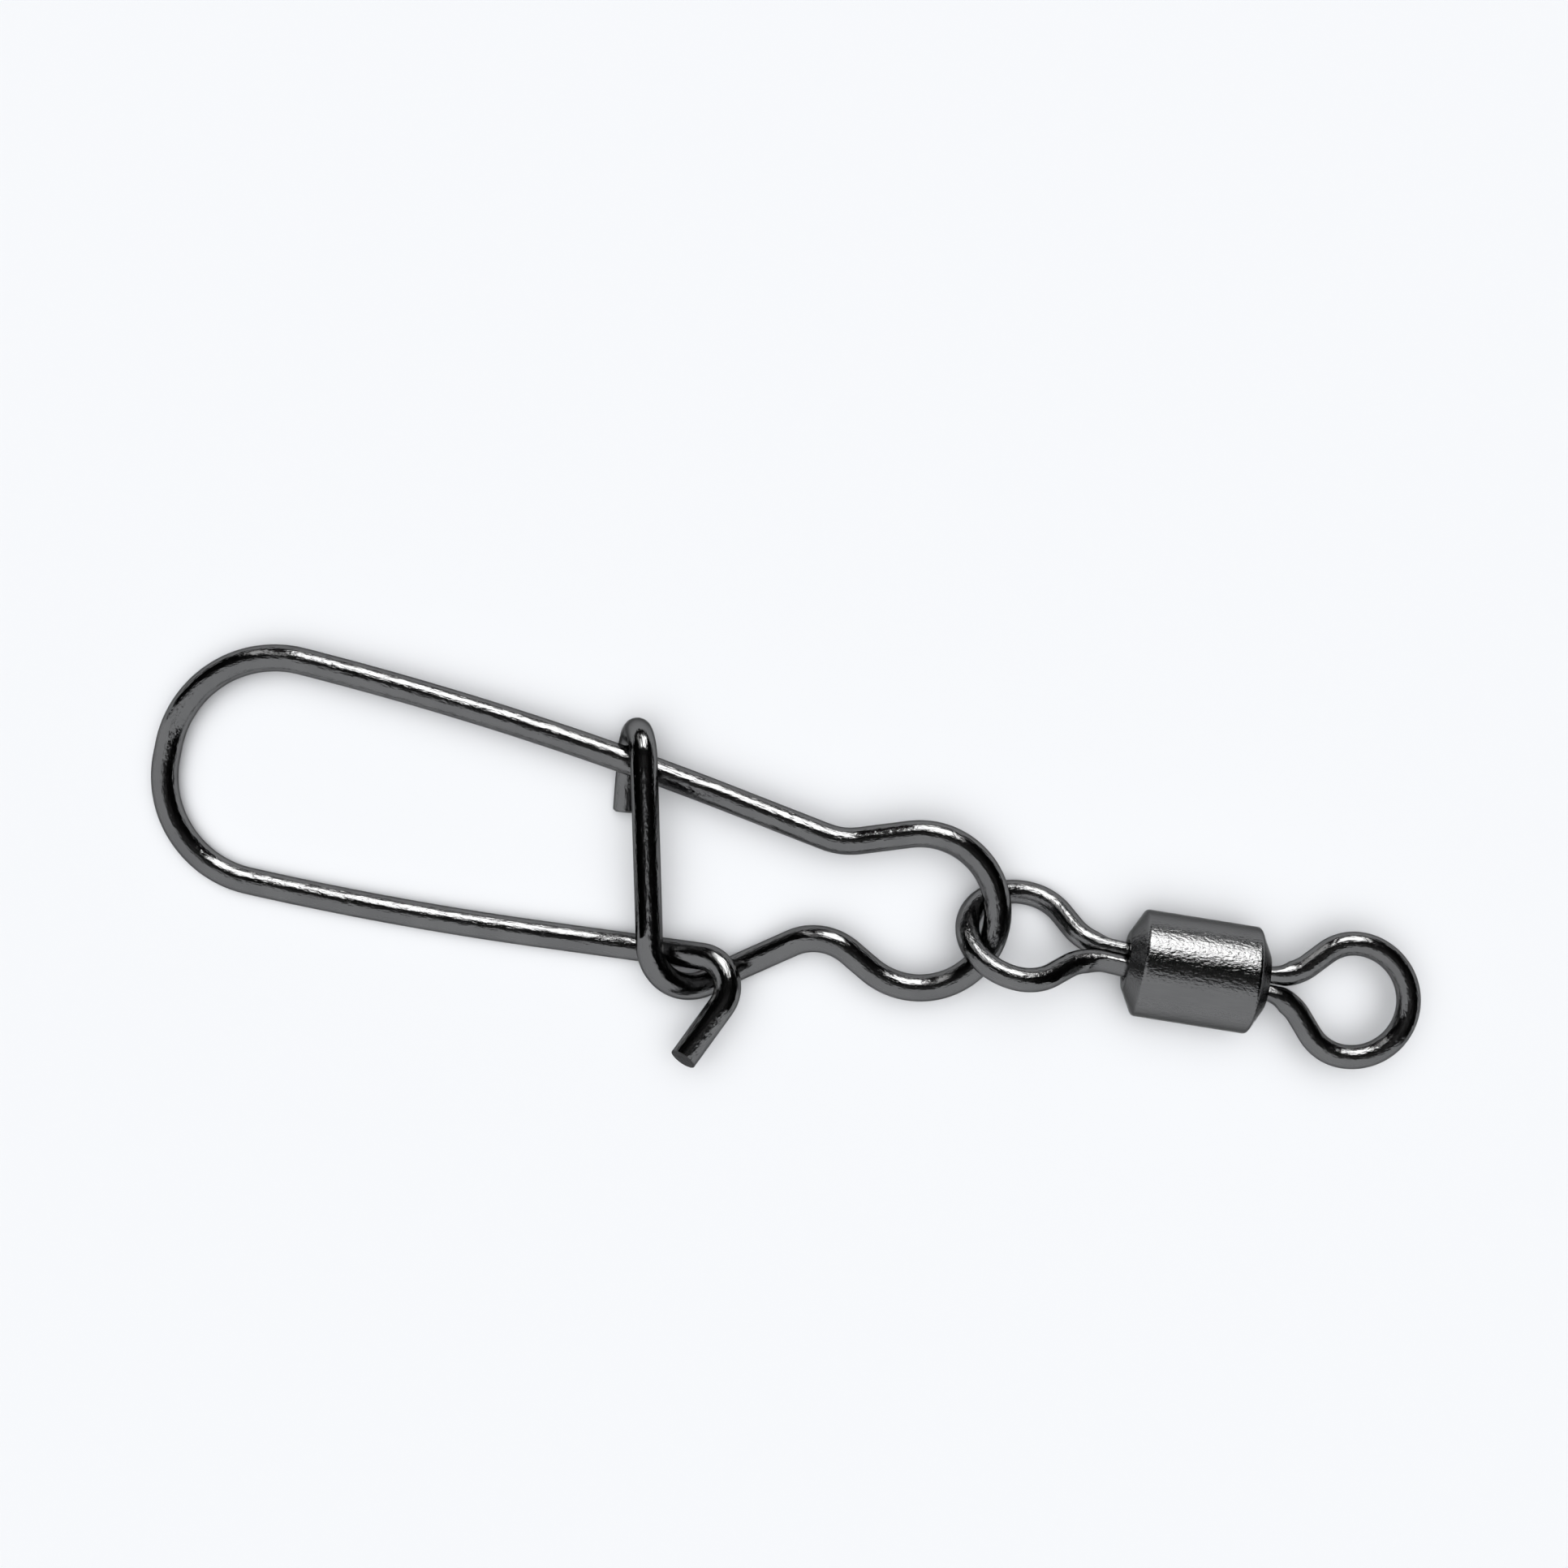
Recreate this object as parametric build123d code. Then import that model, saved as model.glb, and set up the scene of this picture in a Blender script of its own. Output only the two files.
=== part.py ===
from build123d import *
from math import acos, asin, atan2, cos, degrees, pi, radians, sin, sqrt, tan
import os

os.makedirs("parts", exist_ok=True)

# A fishing snap swivel lying on the ground: a spring snap bent from one wire at the -X end,
# linked to a rolling swivel whose line eye points to +X. Millimetres, +Z up.

# Sizes of the snap wire

snap_wire = 1.10
lap_gap = 0.05
loop_radius = 3.12
throat_back = 3.65
neck_low = 1.58
throat_high = 2.00
neck_bend = 2.17
throat_bend = 2.80
snap_reach = 31.14
bail_above = 4.58
bail_below = 4.77
bail_bend = 4.60
upper_bow = 0.86
lower_bow = 0.45
bow_bend = 150
crossbar_top = (-12.30, 4.77)
crossbar_foot = (-9.65, -6.26)
foot_bend = 1.95
under_crossbar = (-10.54, -4.01)
back_arm_tip = (-12.50, 1.20)
back_arm_top = (-12.94, 4.48)
catch_corner = (-6.10, -3.43)
catch_bend = 1.31
tail_tip = (-8.10, -8.01)
tail_rise = 0.60
tail_shear = 22
dive_share = 0.40
dive_extra = 0.27
catch_extra = 0.22
leg_lift = 0.07
cross_extra = 0.24
easy_bend = 2.0
cut_edge = 0.08

# Sizes of the swivel

barrel_radius = 2.165
barrel_half_length = 2.83
lip_radius = 1.18
cone_length = 0.53
wall = 0.45
shoulder_round = 0.20
lip_round = 0.10
shank_radius = 0.70
running_fit = 0.08
seat_gap = 0.05

eye_wire = 0.97
ring_radius = 2.28
ring_shoulder = 1.87
neck_angle = 48
neck_ease = 1.85
leg_offset = 0.43
leg_slit = 0.06
shank_length = 1.32
ring_reach = 4.84
flare_radius = 1.05
head_radius = 1.35
head_length = 1.20
head_dome = 0.40

# How the pieces lie

link_play = 0.12
ring_lean = 1.31
snap_drop = 3.4
link_eye_tip = 4.2
line_eye_tip = 2.3
line_eye_play = 0.80


def wire_line(corners, bends):
    """The centre line of a bent wire: straight runs joined by round bends.
    A bend is eased to a smaller radius where the runs beside it are too short."""
    points = [Vector(*corner) for corner in corners]
    runs = [after - before for before, after in zip(points, points[1:])]
    cuts = [0] + [bend * tan(radians(before.get_angle(after)) / 2)
                  for bend, before, after in zip(bends, runs, runs[1:])] + [0]
    room = [min(1, run.length / (first + second))
            for run, first, second in zip(runs, cuts, cuts[1:])]
    cuts = [cut * min(pair) for cut, pair in zip(cuts[1:-1], zip(room, room[1:]))]
    edges = []
    here = points[0]
    for corner, cut, before, after in zip(points[1:-1], cuts, runs, runs[1:]):
        bend_start = corner - before.normalized() * cut
        if (bend_start - here).length > 0.005:
            edges.append(Line(here, bend_start))
            here = bend_start
        bend_end = corner + after.normalized() * cut
        edges.append(TangentArc(here, bend_end, tangent=before))
        here = bend_end
    if (points[-1] - here).length > 0.005:
        edges.append(Line(here, points[-1]))
    return Wire(edges)


def round_wire(line, diameter):
    """Round wire drawn along its centre line."""
    section = Plane(origin=line @ 0, z_dir=line % 0) * Circle(diameter / 2)
    return sweep(section, path=line)


# The snap is drawn flat around the centre of its small loop, with the bail toward -X.
# Where the wire crosses itself the two runs lie a little more than one wire apart.

lap = snap_wire + lap_gap
hook_height = lap + lap_gap
weave = lap / 2


def loop_touch(corner, side):
    """The angle at which a straight run from a corner meets the small loop."""
    reach = sqrt(corner[0] ** 2 + corner[1] ** 2)
    return atan2(corner[1], corner[0]) + side * acos(loop_radius / reach)


neck = (-throat_back, -neck_low, 0)
throat = (-throat_back, throat_high, 0)
loop_start = loop_touch(neck, 1)
loop_step = (loop_touch(throat, -1) + 2 * pi - loop_start) % (2 * pi) / 3
loop_corner = loop_radius / cos(loop_step / 2)
loop_corners = [(loop_corner * cos(loop_start + loop_step * (turn + 0.5)),
                 loop_corner * sin(loop_start + loop_step * (turn + 0.5)), 0)
                for turn in range(3)]

# Both long legs are bowed a little outward between the loop and the bail

bail_top = (-snap_reach, bail_above, 0)
bail_foot = (-snap_reach, -bail_below, 0)
under_leg = (*under_crossbar, leg_lift - weave)
upper_middle = ((throat[0] + bail_top[0]) / 2, (throat[1] + bail_top[1]) / 2 + upper_bow, 0)
lower_middle = ((bail_foot[0] + under_leg[0]) / 2,
                (bail_foot[1] + under_leg[1]) / 2 - lower_bow, under_leg[2] / 2)

# The crossbar hooks over the upper leg, slopes down over the lower leg,
# turns and dives behind the catch before it rises into the neck

over_leg = under_leg[2] + lap + cross_extra
foot_fall = (crossbar_foot[1] - under_crossbar[1]) / (crossbar_top[1] - under_crossbar[1])
foot = (*crossbar_foot, over_leg + (hook_height - over_leg) * foot_fall)
dive = tuple(foot[i] + (neck[i] - foot[i]) * dive_share for i in (0, 1)) + (-weave - dive_extra,)
catch = (*catch_corner, weave + catch_extra)

snap_line = wire_line(
    [(*back_arm_tip, -hook_height), (*back_arm_top, -hook_height), (*crossbar_top, hook_height),
     foot, dive, neck, *loop_corners, throat, upper_middle, bail_top, bail_foot, lower_middle,
     under_leg, catch, (*tail_tip, catch[2] + tail_rise)],
    [hook_height, hook_height, foot_bend, easy_bend, neck_bend] + [loop_radius] * 3
    + [throat_bend, bow_bend, bail_bend, bail_bend, bow_bend, easy_bend, catch_bend])
snap_flat = round_wire(snap_line, snap_wire)

# The back arm ends in a dressed edge; the tail is sheared off with a slanting face that looks up

arm_end = snap_flat.edges().filter_by(GeomType.CIRCLE).filter_by(
    lambda edge: (edge.arc_center - snap_line @ 0).length < 0.01)
snap_flat = chamfer(arm_end, cut_edge)
tail_way = snap_line % 1
tail_end = Plane(origin=snap_line @ 1, x_dir=tail_way.cross(Vector(0, 0, 1)), z_dir=tail_way)
sheared_off = Pos(0, 0, -snap_wire / 2 * tan(radians(tail_shear)) - cut_edge) * Rot(X=tail_shear) * Pos(
    0, 0, snap_wire) * Box(4 * snap_wire, 4 * snap_wire, 2 * snap_wire)
snap_flat = snap_flat - tail_end.location * sheared_off

# The snap lies on three points of its wire: the tip of the back arm,
# the dive behind the catch and the start of the lower leg

heel = Vector(*bail_foot) + (Vector(*lower_middle) - Vector(*bail_foot)).normalized() * bail_bend
stance = (Vector(*dive) - heel).cross(Vector(*back_arm_tip, -hook_height) - heel).normalized()
ground = Plane(origin=(0, 0, 0), x_dir=Vector(1, 0, 0) - stance * stance.X, z_dir=stance)
snap_lying = Rot(Z=-snap_drop) * ground.location.inverse() * snap_flat

# The barrel: a drawn sleeve of one wall thickness, both ends spun inward to a lip.
# Its axis is X and its middle is the origin of the swivel.

cone_slope = (barrel_radius - lip_radius) / cone_length
hole_radius = shank_radius + running_fit
inner_end = barrel_half_length - wall
inner_flat = lip_radius + wall * (cone_slope - sqrt(1 + cone_slope ** 2))
inner_radius = barrel_radius - wall
inner_shoulder = inner_end - (inner_radius - inner_flat) / cone_slope
half_section = make_face(Polyline(
    (0, inner_radius), (0, barrel_radius), (barrel_half_length - cone_length, barrel_radius),
    (barrel_half_length, lip_radius), (barrel_half_length, hole_radius), (inner_end, hole_radius),
    (inner_end, inner_flat), (inner_shoulder, inner_radius), close=True))
shoulder = half_section.vertices().sort_by(Axis.Y)[-2:].sort_by(Axis.X)[-1]
half_section = fillet(shoulder, shoulder_round)
lip_corners = half_section.vertices().sort_by(Axis.X)[-2:]
half_section = fillet(lip_corners, lip_round)
barrel_half = revolve(half_section, Axis.X)
barrel = barrel_half + mirror(barrel_half, about=Plane.YZ)

# An eye: one wire bent to a ring, its two legs pressed together and headed inside the barrel.
# X points out of the barrel from the seat of the head, and half of the eye lies on each side of Y=0.

fall = radians(neck_angle)
ring_corner = -ring_shoulder * tan(fall / 2)
neck_corner = ring_corner - (ring_radius - leg_offset) / tan(fall)
half_line = wire_line(
    [(ring_reach + ring_radius, 0, 0), (ring_reach + ring_radius, ring_radius, 0),
     (ring_reach + ring_corner, ring_radius, 0), (ring_reach + neck_corner, leg_offset, 0),
     (-head_length / 2, leg_offset, 0)],
    [ring_radius, ring_shoulder, neck_ease])
half_eye = round_wire(half_line, eye_wire)
between_legs = Pos(0, leg_slit / 2 - eye_wire, 0) * Box(
    2 * (ring_reach + neck_corner), 2 * eye_wire, 4 * head_radius)
die = revolve(make_face([
    Line((-head_length, 0), (-head_length, shank_radius)),
    Line((-head_length, shank_radius), (shank_length, shank_radius)),
    RadiusArc((shank_length, shank_radius),
              (shank_length + flare_radius, shank_radius + flare_radius), -flare_radius),
    Line((shank_length + flare_radius, shank_radius + flare_radius),
         (shank_length + flare_radius, 2 * ring_radius)),
    Line((shank_length + flare_radius, 2 * ring_radius), (3 * ring_reach, 2 * ring_radius)),
    Line((3 * ring_reach, 2 * ring_radius), (3 * ring_reach, 0)),
    Line((3 * ring_reach, 0), (-head_length, 0))]), Axis.X)
head_flat = inner_flat - seat_gap
head_section = make_face(Polyline(
    (0, 0), (0, head_flat), (-(head_radius - head_flat) / cone_slope, head_radius),
    (-head_length, head_radius), (-head_length, 0), close=True))
head_section = fillet(
    head_section.vertices().sort_by(Axis.X)[:2].sort_by(Axis.Y)[-1], head_dome)
half_eye = (half_eye & die) + revolve(head_section, Axis.X)
half_eye = half_eye - between_legs
far_side = Pos(0, -2 * ring_radius, 0) * Box(8 * ring_radius, 4 * ring_radius, 4 * ring_radius)
half_eye = half_eye - far_side
eye = half_eye + mirror(half_eye, about=Plane.XZ)

# The swivel lies on its barrel and both eyes are tipped a little in their holes. The link eye
# points at the middle of the snap's loop and leans on it; the line eye is pushed a little way in.

seat = inner_end - seat_gap
hole_middle = barrel_half_length - wall / 2
axle = Pos(0, 0, barrel_radius)
link_way = axle * Pos(-hole_middle, 0, 0) * Rot(Z=-link_eye_tip)
line_way = axle * Pos(hole_middle, 0, 0) * Rot(Z=-line_eye_tip)
link_eye_in = hole_middle - seat + head_radius * sin(radians(link_eye_tip))
arm_spread = sqrt(ring_radius ** 2 - (ring_radius - (snap_wire + eye_wire) / 2 - link_play) ** 2)
lean = degrees(asin(min(1, ring_lean * (snap_wire + eye_wire) / 2 / arm_spread)))
swivel_barrel = axle * barrel
line_side_eye = line_way * Pos(seat - hole_middle - line_eye_play, 0, 0) * eye
snap_side_eye = link_way * Pos(link_eye_in, 0, 0) * Rot(X=-lean) * Rot(Z=180) * eye

ring_inside = ring_reach + ring_radius - link_eye_in - (snap_wire + eye_wire) / 2 - link_play
loop_middle = (link_way * Pos(-ring_inside - loop_radius, 0, 0)).position
snap_wire_shape = Pos(loop_middle.X, loop_middle.Y, -snap_lying.bounding_box().min.Z) * snap_lying

# The whole snap swivel lies with its middle over the origin

pieces = {
    "snap": snap_wire_shape,
    "snap_side_eye": snap_side_eye,
    "swivel_barrel": swivel_barrel,
    "line_side_eye": line_side_eye,
}
box = Compound(list(pieces.values())).bounding_box()
centred = Pos(-box.center().X, -box.center().Y, -box.min.Z)
for name, shape in pieces.items():
    export_step(centred * shape, f"parts/{name}.step")
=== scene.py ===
import bpy
from math import acos, asin, atan2, ceil, cos, pi, radians, sin, sqrt, tan
from mathutils import Matrix, Vector


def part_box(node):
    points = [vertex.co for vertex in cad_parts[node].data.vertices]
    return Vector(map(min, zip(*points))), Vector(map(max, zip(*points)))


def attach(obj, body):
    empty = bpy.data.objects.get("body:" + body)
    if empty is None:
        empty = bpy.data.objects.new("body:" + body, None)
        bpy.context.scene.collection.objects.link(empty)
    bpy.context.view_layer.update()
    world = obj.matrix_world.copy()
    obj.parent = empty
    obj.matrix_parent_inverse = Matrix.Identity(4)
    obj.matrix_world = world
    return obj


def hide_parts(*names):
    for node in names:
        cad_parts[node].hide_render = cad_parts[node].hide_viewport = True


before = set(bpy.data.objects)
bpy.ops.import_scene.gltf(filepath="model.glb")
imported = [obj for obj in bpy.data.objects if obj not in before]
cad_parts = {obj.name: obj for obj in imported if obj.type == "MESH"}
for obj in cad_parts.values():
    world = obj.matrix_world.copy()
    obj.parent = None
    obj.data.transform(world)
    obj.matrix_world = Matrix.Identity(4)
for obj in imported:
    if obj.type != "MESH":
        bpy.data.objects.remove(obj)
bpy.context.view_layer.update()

# The barrel: a sleeve of drawn tube, its two ends spun inward over the heads to a cone and a
# rolled lip. Satin black nickel, with fine marks along its length.
# Its sizes and those of the eyes and the snap are in millimetres.

mm = 0.001
barrel_radius = 2.165
barrel_half_length = 2.83
lip_radius = 1.18
cone_length = 0.53
wall = 0.45
shoulder_round = 0.20
lip_round = 0.10
inside_round = 0.02
shank_radius = 0.70
running_fit = 0.08
steps_around = 192
crisp_angle = radians(35)


def bent(corners, bends, run_step=0.25, bend_step=0.12):
    """Places along the centre line of a bent wire: straight runs joined by round bends.
    A bend is eased to a smaller radius where the runs beside it are too short."""
    corners = [Vector(corner) for corner in corners]
    runs = [after - before for before, after in zip(corners, corners[1:])]
    turns = [before.angle(after) for before, after in zip(runs, runs[1:])]
    cuts = [0] + [bend * tan(turn / 2) for bend, turn in zip(bends, turns)] + [0]
    room = [min(1, run.length / (first + second) if first + second else 1)
            for run, first, second in zip(runs, cuts, cuts[1:])]
    cuts = [cut * min(pair) for cut, pair in zip(cuts[1:-1], zip(room, room[1:]))]
    shortest_run, shortest_cut, fewest_steps = 0.005, 0.001, 3
    places = [corners[0]]

    def run_to(end):
        start, run = places[-1], end - places[-1]
        if run.length > shortest_run:
            steps = ceil(run.length / run_step)
            places.extend(start + run * (step + 1) / steps for step in range(steps))

    for corner, cut, turn, before, after in zip(corners[1:-1], cuts, turns, runs, runs[1:]):
        along, onward = before.normalized(), after.normalized()
        start = corner - along * cut
        run_to(start)
        if cut > shortest_cut:
            radius = cut / tan(turn / 2)
            inward = (onward - along * cos(turn)) / sin(turn)
            steps = max(fewest_steps, ceil(radius * turn / bend_step))
            for step in range(1, steps + 1):
                angle = turn * step / steps
                places.append(start + along * radius * sin(angle)
                              + inward * radius * (1 - cos(angle)))
    run_to(corners[-1])
    return places


def skin(rings, straight, wound=False):
    """Corners, faces, straight places and end faces of the surface through rings, closed at both
    ends, or with the last ring joined to the first where the rings are wound up."""
    sides = len(rings[0])
    corners = [corner for ring in rings for corner in ring]
    flats = [flat for ring in straight for flat in ring]
    count = len(rings)
    faces = []
    for ring in range(count if wound else count - 1):
        for side in range(sides):
            near, far = ring * sides, (ring + 1) % count * sides
            beside = (side + 1) % sides
            faces.append((near + side, near + beside, far + beside, far + side))
    ends = []
    if not wound:
        for ring, flip in ((0, -1), (count - 1, 1)):
            middle = len(corners)
            corners.append(sum(rings[ring], Vector()) / sides)
            flats.append(sum(straight[ring], Vector()) / sides)
            for side in range(sides):
                edge = (ring * sides + side, ring * sides + (side + 1) % sides)
                ends.append(len(faces))
                faces.append((*edge[::flip], middle))
    return corners, faces, flats, ends


def finished_piece(name, parts, place, *finishes):
    """A mesh object in metres from lists of corners, faces and straight places in millimetres.
    Faces that meet at more than the crisp angle keep a crisp edge."""
    corners, faces, flats = [], [], []
    for part_corners, part_faces, part_flats, _ in parts:
        first = len(corners)
        corners.extend(place @ corner * mm for corner in part_corners)
        faces.extend([corner + first for corner in face] for face in part_faces)
        flats.extend(part_flats)
    mesh = bpy.data.meshes.new(name)
    mesh.from_pydata(corners, [], faces)
    mesh.attributes.new("drawn", "FLOAT_VECTOR", "POINT").data.foreach_set(
        "vector", [number for flat in flats for number in flat])
    for finish in finishes:
        mesh.materials.append(finish)
    mesh.shade_smooth()
    mesh.set_sharp_from_angle(angle=crisp_angle)
    piece = bpy.data.objects.new(name, mesh)
    bpy.context.scene.collection.objects.link(piece)
    return piece


class Look:
    """An output of a shader node. Arithmetic on it adds Math nodes to the same tree."""

    def __init__(self, tree, output):
        self.tree = tree
        self.output = output

    def node(self, kind, settings, inputs, output=0):
        """Any other node: its settings first, then the values or links of its sockets."""
        made = self.tree.nodes.new(kind)
        for name, value in settings.items():
            setattr(made, name, value)
        for name, value in inputs.items():
            if isinstance(value, Look):
                self.tree.links.new(value.output, made.inputs[name])
            else:
                made.inputs[name].default_value = value
        return Look(self.tree, made.outputs[output] if made.outputs else None)

    def maths(self, operation, *values):
        return self.node("ShaderNodeMath", {"operation": operation}, dict(enumerate(values)))

    def __add__(self, other):
        return self.maths("ADD", self, other)

    def __mul__(self, other):
        return self.maths("MULTIPLY", self, other)

    __radd__ = __add__
    __rmul__ = __mul__


def new_finish(name):
    """An empty material, and its nodes to build on."""
    material = bpy.data.materials.new(name)
    material.use_nodes = True
    material.node_tree.nodes.clear()
    return material, Look(material.node_tree, None)


def metal_finish(name):
    """An empty material, and the place on the straight wire or tube in millimetres."""
    material, bare = new_finish(name)
    return material, bare.node("ShaderNodeAttribute", {"attribute_name": "drawn"}, {}, "Vector")


def grain(place, size, detail, stretch=(1, 1, 1)):
    """Noise whose spots are about so many millimetres across, longer where stretched."""
    spread = place.node("ShaderNodeVectorMath", {"operation": "DIVIDE"}, {0: place, 1: stretch})
    return place.node("ShaderNodeTexNoise", {}, {
        "Vector": spread, "Scale": 1 / size, "Detail": detail})


def plated(place, tone, shade, roughness, height, depth):
    """Metal of one grey that is lighter by a share where shade is high, and dented to a depth.
    Its rim reflects less than plain metal does, as dark nickel over steel."""
    dark = [tone * share for share in (0.82, 0.82, 0.83)]
    light = [tone * share for share in (1.18, 1.18, 1.17)]
    rim_tint = (0.3, 0.3, 0.3, 1)
    first_colour, second_colour, mixed_colour = 6, 7, 2
    colour = place.node("ShaderNodeMix", {"data_type": "RGBA"}, {
        "Factor": shade, first_colour: (*dark, 1), second_colour: (*light, 1)}, mixed_colour)
    dented = place.node("ShaderNodeBump", {}, {
        "Height": height, "Distance": depth * mm, "Strength": 1})
    metal = place.node("ShaderNodeBsdfPrincipled", {}, {
        "Base Color": colour, "Metallic": 1.0, "Roughness": roughness, "Normal": dented,
        "Specular Tint": rim_tint})
    place.node("ShaderNodeOutputMaterial", {}, {"Surface": metal})


cone_slope = (barrel_radius - lip_radius) / cone_length
hole_radius = shank_radius + running_fit
inner_end = barrel_half_length - wall
inner_flat = lip_radius + wall * (cone_slope - sqrt(1 + cone_slope ** 2))
inner_radius = barrel_radius - wall
inner_shoulder = inner_end - (inner_radius - inner_flat) / cone_slope
half_section = bent(
    [(0, barrel_radius, 0), (barrel_half_length - cone_length, barrel_radius, 0),
     (barrel_half_length, lip_radius, 0), (barrel_half_length, hole_radius, 0),
     (inner_end, hole_radius, 0), (inner_end, inner_flat, 0),
     (inner_shoulder, inner_radius, 0), (0, inner_radius, 0)],
    [shoulder_round, lip_round, lip_round] + [inside_round] * 3, run_step=0.15, bend_step=0.03)
section = half_section + [Vector((-spot.x, spot.y, 0)) for spot in half_section[-2:0:-1]]
turns_around = [2 * pi * step / steps_around for step in range(steps_around)]
barrel_rings = [[Vector((spot.x, spot.y * cos(turn), spot.y * sin(turn)))
                 for turn in turns_around] for spot in section]

barrel_finish, on_barrel = metal_finish("satin_black_nickel")
clouds = grain(on_barrel, size=1.8, detail=3)
drawn_lines = grain(on_barrel, size=0.07, detail=3, stretch=(14, 1, 1))
peen = grain(on_barrel, size=0.11, detail=4, stretch=(1.5, 1, 1))
plated(on_barrel, tone=0.155, shade=0.5 * clouds + 0.5 * drawn_lines,
       roughness=0.05 + 0.09 * peen, height=peen + 0.25 * drawn_lines, depth=0.023)

lowest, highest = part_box("swivel_barrel")
axle = Matrix.Translation((Vector(lowest) + Vector(highest)) / 2 / mm)
barrel = finished_piece("barrel_sleeve", [skin(barrel_rings, barrel_rings, wound=True)], axle,
                        barrel_finish)
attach(barrel, "barrel")
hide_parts("swivel_barrel")

# The two eyes: stiff wire bent to a ring, its legs pressed together in a round die and headed
# like a split rivet inside the barrel. The same black nickel, a little duller than the snap.
# The snap side eye stands aslant on the snap's wire, the line side eye lies flat.

eye_wire = 0.97
ring_radius = 2.28
ring_shoulder = 1.87
ring_reach = 4.84
neck_angle = radians(48)
neck_ease = 1.85
leg_offset = 0.43
leg_slit = 0.06
shank_length = 1.32
flare_radius = 1.05
head_radius = 1.35
head_length = 1.20
head_dome = 0.40
head_edge = 0.05
seat_gap = 0.05
line_eye_play = 0.80
line_eye_tip = radians(2.3)
link_eye_tip = radians(4.2)
link_play = 0.12
ring_lean = 1.31
snap_wire = 1.10


def drawn_wire(places, diameter, sides=40):
    """Rings of corners round a centre line, and where each corner was on the straight wire."""
    rings, straight = [], []
    way = (places[1] - places[0]).normalized()
    out = way.orthogonal().normalized()
    length = 0
    for here, place in enumerate(places):
        before, after = places[max(here - 1, 0)], places[min(here + 1, len(places) - 1)]
        onward = (after - before).normalized()
        out = way.rotation_difference(onward) @ out
        way = onward
        length += (place - before).length
        across = way.cross(out)
        ring, flat = [], []
        for side in range(sides):
            angle = 2 * pi * side / sides
            spoke = (out * cos(angle) + across * sin(angle)) * diameter / 2
            ring.append(place + spoke)
            flat.append(Vector((length, cos(angle) * diameter / 2, sin(angle) * diameter / 2)))
        rings.append(ring)
        straight.append(flat)
    return rings, straight


neck_rise = (ring_radius - leg_offset) / tan(neck_angle)
ring_corner = ring_reach - ring_shoulder * tan(neck_angle / 2)
eye_line = bent(
    [(-head_length / 2, leg_offset, 0), (ring_corner - neck_rise, leg_offset, 0),
     (ring_corner, ring_radius, 0), (ring_reach + ring_radius, ring_radius, 0),
     (ring_reach + ring_radius, -ring_radius, 0), (ring_corner, -ring_radius, 0),
     (ring_corner - neck_rise, -leg_offset, 0), (-head_length / 2, -leg_offset, 0)],
    [neck_ease, ring_shoulder, ring_radius, ring_radius, ring_shoulder, neck_ease],
    run_step=0.10, bend_step=0.08)


def pressed(corner, side):
    """Where a corner of a leg ends up after the round die and the slit between the legs."""
    beyond = min(max(corner.x - shank_length, 0), flare_radius)
    die = shank_radius + flare_radius - sqrt(flare_radius ** 2 - beyond ** 2)
    out = sqrt(corner.y ** 2 + corner.z ** 2)
    if corner.x < ring_corner and out > die and beyond < flare_radius:
        corner = Vector((corner.x, corner.y * die / out, corner.z * die / out))
    if corner.x < ring_corner - neck_rise:
        corner = Vector((corner.x, side * max(side * corner.y, leg_slit / 2), corner.z))
    return corner


eye_rings, eye_straight = drawn_wire(eye_line, eye_wire, sides=44)
eye_rings = [[pressed(corner, 1 if here < len(eye_rings) / 2 else -1) for corner in ring]
             for here, ring in enumerate(eye_rings)]


def half_head(side, slices=24):
    """One half of the split head, closed along the slit."""
    head_flat = inner_flat - seat_gap
    outline = bent(
        [(0, 0, 0), (0, head_flat, 0), (-(head_radius - head_flat) / cone_slope, head_radius, 0),
         (-head_length, head_radius, 0), (-head_length, 0, 0)],
        [head_edge, head_edge, head_dome], run_step=0.3, bend_step=0.08)
    angles = [pi * (step / slices - 0.5) for step in range(slices + 1)]
    half = [[Vector((spot.x, side * max(spot.y * cos(angle), leg_slit / 2), spot.y * sin(angle)))
             for angle in angles[::side]] for spot in outline[1:-1]]
    return skin(half, half)


eye_finish, on_eye = metal_finish("dull_black_nickel")
clouds = grain(on_eye, size=1.2, detail=2)
die_lines = grain(on_eye, size=0.11, detail=2, stretch=(12, 1, 1))
ripple = grain(on_eye, size=0.11, detail=4, stretch=(2.2, 1, 1))
plated(on_eye, tone=0.155, shade=clouds, roughness=0.07 + 0.08 * die_lines,
       height=ripple + 0.30 * die_lines, depth=0.021)

hole_middle = barrel_half_length - wall / 2
link_hole = Matrix.Translation((-hole_middle, 0, 0)) @ Matrix.Rotation(-link_eye_tip, 4, "Z")
line_hole = Matrix.Translation((hole_middle, 0, 0)) @ Matrix.Rotation(-line_eye_tip, 4, "Z")
seat = inner_end - seat_gap
link_eye_in = hole_middle - seat + head_radius * sin(link_eye_tip)
line_eye_in = hole_middle - seat + line_eye_play
wires_apart = (snap_wire + eye_wire) / 2
arm_spread = sqrt(ring_radius ** 2 - (ring_radius - wires_apart - link_play) ** 2)
lean = asin(min(1, ring_lean * wires_apart / arm_spread))
eye_places = {
    "snap_side_eye": axle @ link_hole @ Matrix.Translation((link_eye_in, 0, 0))
    @ Matrix.Rotation(-lean, 4, "X") @ Matrix.Rotation(pi, 4, "Z"),
    "line_side_eye": axle @ line_hole @ Matrix.Translation((-line_eye_in, 0, 0))}
eye_parts = [skin(eye_rings, eye_straight), half_head(1), half_head(-1)]
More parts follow.
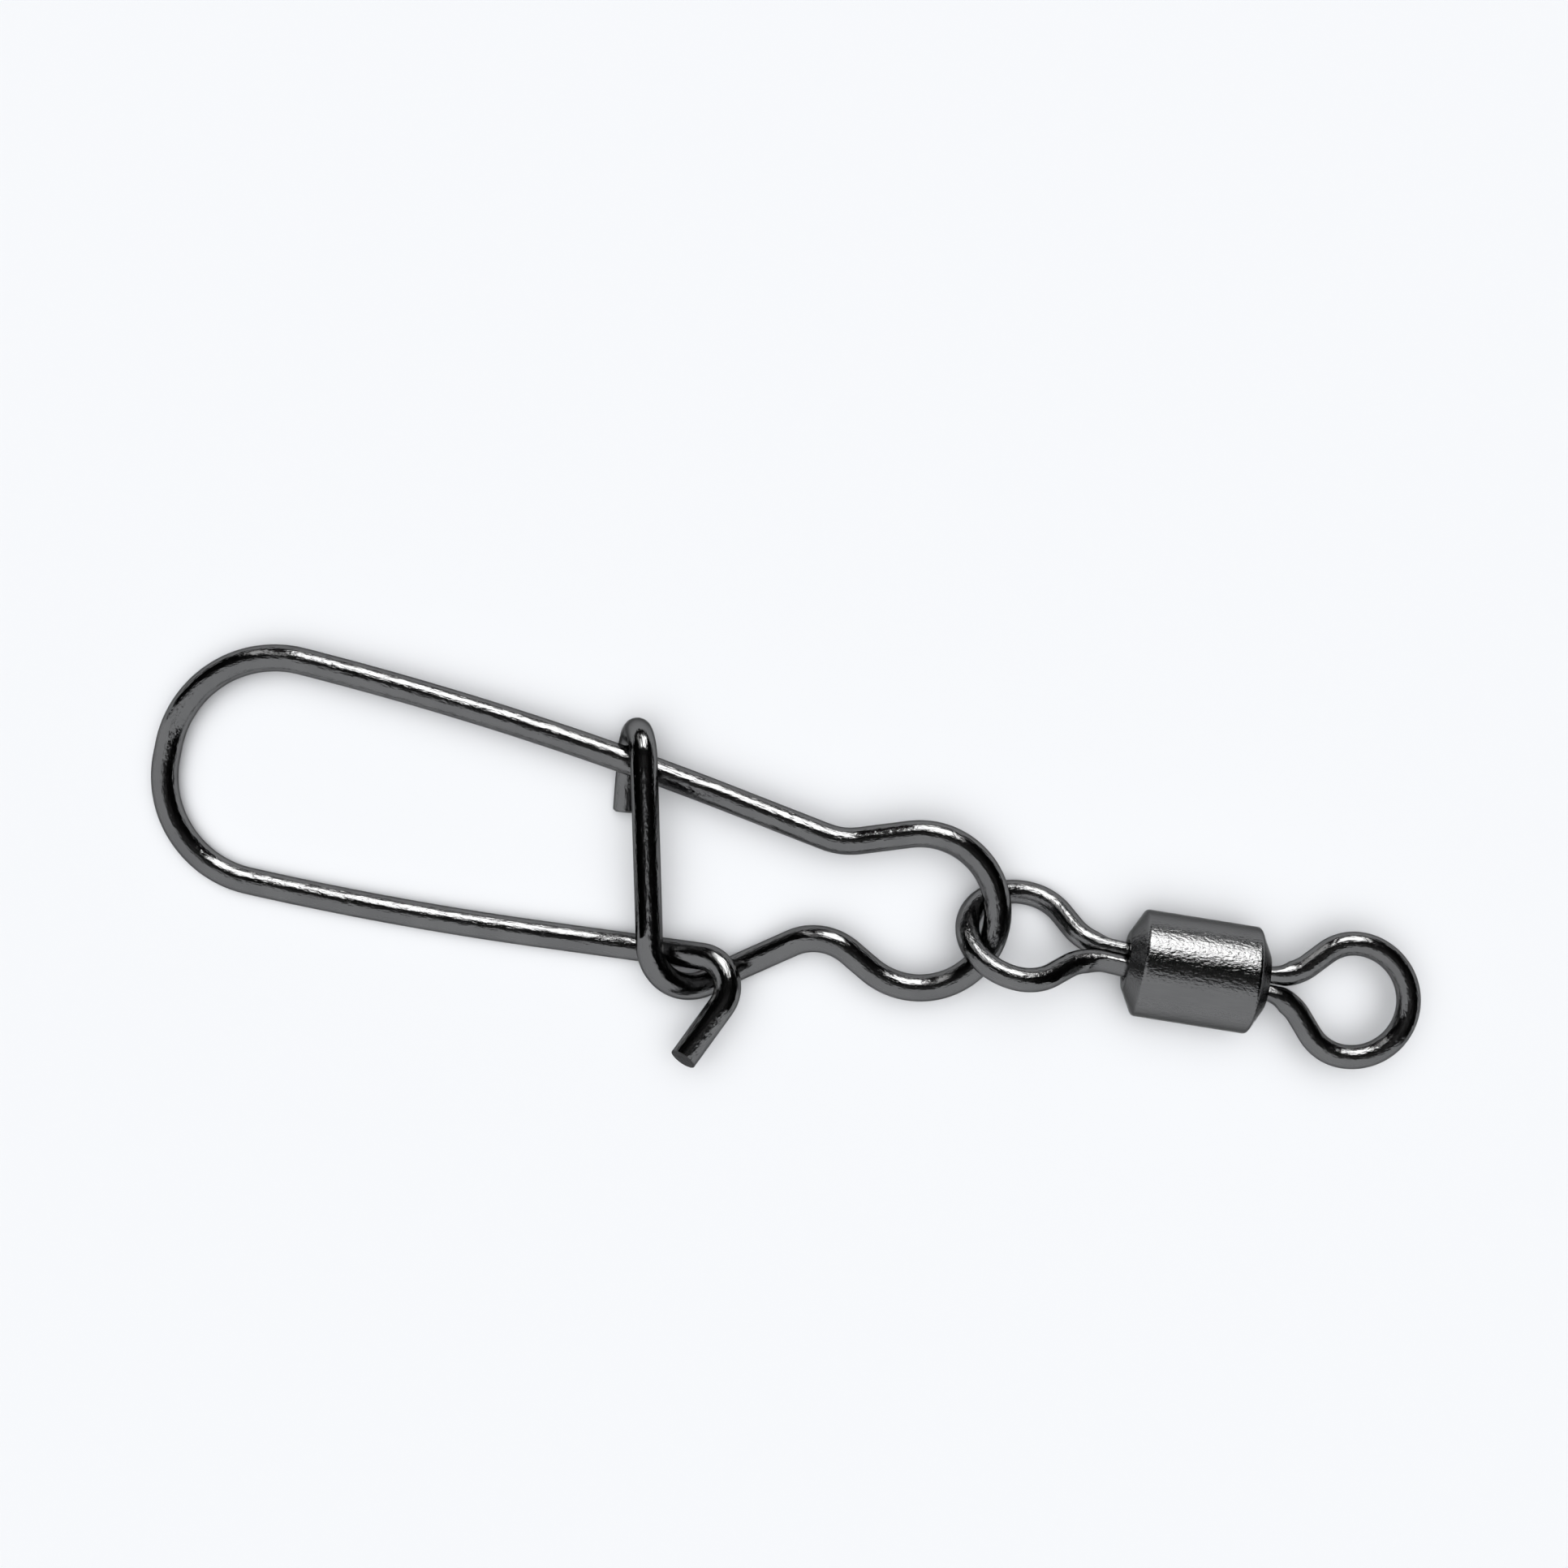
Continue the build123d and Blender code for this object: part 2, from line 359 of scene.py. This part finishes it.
for node, body in (("snap_side_eye", "link_eye"), ("line_side_eye", "line_eye")):
    eye = finished_piece(node.replace("side", "ring"), eye_parts, eye_places[node], eye_finish)
    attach(eye, body)
    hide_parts(node)

# The snap: one length of hard-drawn spring wire, bent round pins into a bail, a small loop and
# two hooks that lock past each other. The back arm's end is dressed, the tail is left as it was
# sheared, and the whole wire is plated in bright black nickel.

lap_gap = 0.05
loop_radius = 3.12
throat_back = 3.65
neck_low = 1.58
throat_high = 2.00
neck_bend = 2.17
throat_bend = 2.80
snap_reach = 31.14
bail_above = 4.58
bail_below = 4.77
bail_bend = 4.60
upper_bow = 0.86
lower_bow = 0.45
bow_bend = 150
easy_bend = 2.0
crossbar_top = (-12.30, 4.77)
crossbar_foot = (-9.65, -6.26)
foot_bend = 1.95
cross_extra = 0.24
under_crossbar = (-10.54, -4.01)
leg_lift = 0.07
back_arm_tip = (-12.50, 1.20)
back_arm_top = (-12.94, 4.48)
dive_share = 0.40
dive_extra = 0.27
catch_corner = (-6.10, -3.43)
catch_bend = 1.31
catch_extra = 0.22
tail_tip = (-8.10, -8.01)
tail_rise = 0.60
tail_shear = radians(22)
cut_edge = 0.08
snap_drop = radians(3.4)


def loop_touch(corner, side):
    """The angle at which a straight run from a corner meets the small loop."""
    away = sqrt(corner[0] ** 2 + corner[1] ** 2)
    return atan2(corner[1], corner[0]) + side * acos(loop_radius / away)


lap = snap_wire + lap_gap
hook_height = lap + lap_gap
weave = lap / 2
neck = (-throat_back, -neck_low, 0)
throat = (-throat_back, throat_high, 0)
loop_start = loop_touch(neck, 1)
loop_step = (loop_touch(throat, -1) + 2 * pi - loop_start) % (2 * pi) / 3
loop_corner = loop_radius / cos(loop_step / 2)
loop_corners = [(loop_corner * cos(loop_start + loop_step * (turn + 0.5)),
                 loop_corner * sin(loop_start + loop_step * (turn + 0.5)), 0)
                for turn in range(3)]
bail_top = (-snap_reach, bail_above, 0)
bail_foot = (-snap_reach, -bail_below, 0)
under_leg = (*under_crossbar, leg_lift - weave)
upper_middle = ((throat[0] + bail_top[0]) / 2, (throat[1] + bail_top[1]) / 2 + upper_bow, 0)
lower_middle = ((bail_foot[0] + under_leg[0]) / 2,
                (bail_foot[1] + under_leg[1]) / 2 - lower_bow, under_leg[2] / 2)
over_leg = under_leg[2] + lap + cross_extra
foot_fall = (crossbar_foot[1] - under_crossbar[1]) / (crossbar_top[1] - under_crossbar[1])
foot = (*crossbar_foot, over_leg + (hook_height - over_leg) * foot_fall)
dive = (foot[0] + (neck[0] - foot[0]) * dive_share,
        foot[1] + (neck[1] - foot[1]) * dive_share, -weave - dive_extra)
catch = (*catch_corner, weave + catch_extra)
tail_end = Vector((*tail_tip, catch[2] + tail_rise))
snap_line = bent(
    [(*back_arm_tip, -hook_height), (*back_arm_top, -hook_height), (*crossbar_top, hook_height),
     foot, dive, neck, *loop_corners, throat, upper_middle, bail_top, bail_foot, lower_middle,
     under_leg, catch, tail_end],
    [hook_height, hook_height, foot_bend, easy_bend, neck_bend] + [loop_radius] * 3
    + [throat_bend, bow_bend, bail_bend, bail_bend, bow_bend, easy_bend, catch_bend])

# The dressed end of the back arm, then the slanting face that the shears left on the tail

rings, straight = drawn_wire(snap_line, snap_wire)
arm_middle = snap_line[0]
arm_way = (snap_line[1] - snap_line[0]).normalized()
rings.insert(1, [corner + arm_way * cut_edge for corner in rings[0]])
straight.insert(1, [flat + Vector((cut_edge, 0, 0)) for flat in straight[0]])
dressed = 1 - 2 * cut_edge / snap_wire
rings[0] = [arm_middle + (corner - arm_middle) * dressed for corner in rings[0]]
tail_way = (snap_line[-1] - snap_line[-2]).normalized()
across_tail = tail_way.cross(Vector((0, 0, 1))).normalized()
shear_face = tail_way * cos(tail_shear) - tail_way.cross(across_tail) * sin(tail_shear)
shear_middle = tail_end - tail_way * (snap_wire / 2 * tan(tail_shear) + cut_edge)
shear_room = 0.05
while max((corner - shear_middle).dot(shear_face) for corner in rings[-1]) > -shear_room:
    last_ring, last_straight = rings.pop(), straight.pop()
reach = [(shear_middle - corner).dot(shear_face) / tail_way.dot(shear_face)
         for corner in last_ring]
straight.append([flat + Vector((ahead, 0, 0)) for flat, ahead in zip(last_straight, reach)])
rings.append([corner + tail_way * ahead for corner, ahead in zip(last_ring, reach)])

# Plating of the wire: faint lines from the drawing die, ripple that the bath left over them

snap_finish, on_wire = metal_finish("bright_black_nickel")
clouds = grain(on_wire, size=1.6, detail=2)
die_lines = grain(on_wire, size=0.12, detail=2, stretch=(14, 1, 1))
ripple = grain(on_wire, size=0.12, detail=4, stretch=(3, 1, 1))
plated(on_wire, tone=0.155, shade=clouds, roughness=0.06 + 0.07 * die_lines,
       height=ripple + 0.35 * die_lines, depth=0.022)

# The sheared face: torn steel with the plating over it, rough, and darker in tone than the drawn
# wire

shear_finish, on_face = metal_finish("sheared_end_painted_shade")
tears = grain(on_face, size=0.22, detail=4)
# Its low tone is painted shade: it stands in for the dark that the face reflects from below.
plated(on_face, tone=0.09, shade=tears, roughness=0.14 + 0.2 * tears, height=tears, depth=0.40)

# The snap lies on three points of its wire, with the loop hung in the ring of the snap side eye

heel = Vector(bail_foot) + (Vector(lower_middle) - Vector(bail_foot)).normalized() * bail_bend
stance = (Vector(dive) - heel).cross(Vector((*back_arm_tip, -hook_height)) - heel).normalized()
ahead = (Vector((1, 0, 0)) - stance * stance.x).normalized()
laid = Matrix((ahead, stance.cross(ahead), stance)).to_4x4()
laid = Matrix.Rotation(-snap_drop, 4, "Z") @ laid
snap_skin = skin(rings, straight)
snap_low = min((laid @ corner).z for corner in snap_skin[0])
ring_inside = ring_reach + ring_radius - link_eye_in - wires_apart - link_play
loop_middle = axle @ link_hole @ Vector((-ring_inside - loop_radius, 0, 0))
snap_place = Matrix.Translation((loop_middle.x, loop_middle.y, -snap_low)) @ laid
snap = finished_piece("snap_wire", [snap_skin], snap_place, snap_finish, shear_finish)
for face in snap_skin[3][-len(rings[0]):]:
    snap.data.polygons[face].material_index = 1
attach(snap, "snap")
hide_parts("snap")

# The floor: a wide sheet of pale matt board that the swivel lies on and throws its shadow over.
# It is no part of the swivel. Its half width is in metres.

floor_half = 1.5
board_colour = (0.935, 0.95, 0.975, 1)
floor_mesh = bpy.data.meshes.new("floor")
floor_mesh.from_pydata([(-floor_half, -floor_half, 0), (floor_half, -floor_half, 0),
                        (floor_half, floor_half, 0), (-floor_half, floor_half, 0)],
                       [], [(0, 1, 2, 3)])
floor = bpy.data.objects.new("floor", floor_mesh)
bpy.context.scene.collection.objects.link(floor)
board, bare = new_finish("pale_board")
matt = bare.node("ShaderNodeBsdfPrincipled", {}, {
    "Base Color": board_colour, "Roughness": 0.9, "Specular IOR Level": 0.0})
matt.node("ShaderNodeOutputMaterial", {}, {"Surface": matt})
floor_mesh.materials.append(board)

# The studio: a pale room whose light falls mostly from overhead, and two lamps beside the upper
# leg, a tall softbox and a faint strip. The lamps are aimed at the swivel and only the metal
# shows them. The room's light gathers overhead and gives the floor what an even white room would.

room_colour = (0.94, 0.955, 0.98, 1)
gathering = 8
overhead_glow = (gathering + 2) / 2
world = bpy.data.worlds.new("studio")
bpy.context.scene.world = world
world.use_nodes = True
world.node_tree.nodes.clear()
room = Look(world.node_tree, None)
camera_ray = room.node("ShaderNodeLightPath", {}, {}, "Is Camera Ray")
glossy_ray = room.node("ShaderNodeLightPath", {}, {}, "Is Glossy Ray")
through_ray = room.node("ShaderNodeLightPath", {}, {}, "Is Transmission Ray")
seen = room.maths("MAXIMUM", camera_ray, room.maths("MAXIMUM", glossy_ray, through_ray))
towards = room.node("ShaderNodeTexCoord", {}, {}, "Generated")
height = room.node("ShaderNodeSeparateXYZ", {}, {0: towards}, "Z")
gathered = height.maths("POWER", height, gathering)
fill = room.node("ShaderNodeBackground", {}, {
    "Color": (1, 1, 1, 1), "Strength": overhead_glow * gathered})
backdrop = room.node("ShaderNodeBackground", {}, {"Color": room_colour, "Strength": 1.0})
mixed = room.node("ShaderNodeMixShader", {}, {0: seen, 1: fill, 2: backdrop})
room.node("ShaderNodeOutputWorld", {}, {"Surface": mixed})


def studio_lamp(name, side, down, width, height, glow, away=0.8):
    """A soft lamp aimed at the swivel, so many metres wide and high and as bright as its glow.
    Side is its compass angle and down its angle from straight overhead."""
    lamp = bpy.data.lights.new(name, "AREA")
    lamp.shape = "RECTANGLE"
    lamp.size = width
    lamp.size_y = height
    lamp.energy = glow * pi * width * height
    box = bpy.data.objects.new(name, lamp)
    bpy.context.scene.collection.objects.link(box)
    box.location = away * Vector((sin(down) * cos(side), sin(down) * sin(side), cos(down)))
    box.rotation_euler = box.location.to_track_quat("Z", "Y").to_euler()
    box.visible_camera = False
    box.visible_diffuse = False


studio_lamp("softbox", side=radians(88.6), down=radians(54.5), width=0.41, height=0.53, glow=7.6)
studio_lamp("strip_lamp", side=radians(125), down=radians(57), width=0.11, height=0.60, glow=2.0)

# Two sheets of black felt that give the bright metal its dark bands. The card arches over the
# upper leg's side and a little past overhead, hangs lower at the swivel's end and is cut back at
# the bail's. The flag stands close beside the crossbar. Only the metal shows them. The card's
# radius is in metres, and the flag's sizes are in millimetres like those of the snap.

card_radius = 1.2
card_side = radians(96)
card_reach = radians(90 + 13)
card_droop = radians(20)
card_lift = radians(29)
lift_start = 0.2
card_rows = 24
card_steps = 48
felt_colour = (0.01, 0.01, 0.01, 1)
flag_off = 1.3
flag_foot = hook_height + 0.2
flag_head = hook_height + 8.5
flag_top_rise = 0.3
flag_foot_rise = 2.8


def felt_sheet(name, corners, faces):
    """A black sheet that is seen only in the metal and throws no shadow."""
    mesh = bpy.data.meshes.new(name)
    mesh.from_pydata(corners, [], faces)
    mesh.materials.append(felt)
    sheet = bpy.data.objects.new(name, mesh)
    bpy.context.scene.collection.objects.link(sheet)
    sheet.visible_camera = False
    sheet.visible_diffuse = False
    sheet.visible_shadow = False
    return sheet


felt, bare = new_finish("black_felt")
matt = bare.node("ShaderNodeBsdfPrincipled", {}, {
    "Base Color": felt_colour, "Roughness": 1.0, "Specular IOR Level": 0.0})
matt.node("ShaderNodeOutputMaterial", {}, {"Surface": matt})
card_middle = Vector((cos(card_side), sin(card_side), 0))
card_right = card_middle.cross(Vector((0, 0, 1)))
card_corners = []
for row in range(card_rows + 1):
    for step in range(card_steps + 1):
        turn = pi * step / card_steps
        droop = card_droop * max(0, cos(turn))
        lift = card_lift * sqrt(max(0, -cos(turn) - lift_start))
        out = (card_reach + droop - lift) * row / card_rows
        spoke = Vector((0, 0, 1)) * sin(turn) + card_right * cos(turn)
        card_corners.append((card_middle * cos(out) + spoke * sin(out)) * card_radius)
across = card_steps + 1
card_faces = [(near, near + 1, near + across + 1, near + across)
              for near in range(card_rows * across) if near % across < card_steps]
felt_sheet("black_card", card_corners, card_faces)

flag_ends = ((crossbar_top[0] - flag_off, crossbar_top[1] + flag_top_rise),
             (crossbar_foot[0] - flag_off, crossbar_foot[1] + flag_foot_rise))
flag_corners = [snap_place @ Vector((*flag_ends[end], rise)) * mm
                for end, rise in ((0, flag_foot), (1, flag_foot), (1, flag_head), (0, flag_head))]
felt_sheet("black_flag", flag_corners, [(0, 1, 2, 3)])

# The camera looks straight down on the swivel from 116 mm above the floor, turned by 9 degrees
# so that the swivel lies across the picture as in the photo.

lens = bpy.data.cameras.new("camera")
lens.lens = 65
lens.clip_start = 0.001
camera = bpy.data.objects.new("camera", lens)
bpy.context.scene.collection.objects.link(camera)
camera.location = (-0.000584, 0.004731, 0.115726)
camera.rotation_euler = (0, 0, 0.15895)
bpy.context.scene.camera = camera
bpy.context.scene.view_settings.view_transform = "Standard"
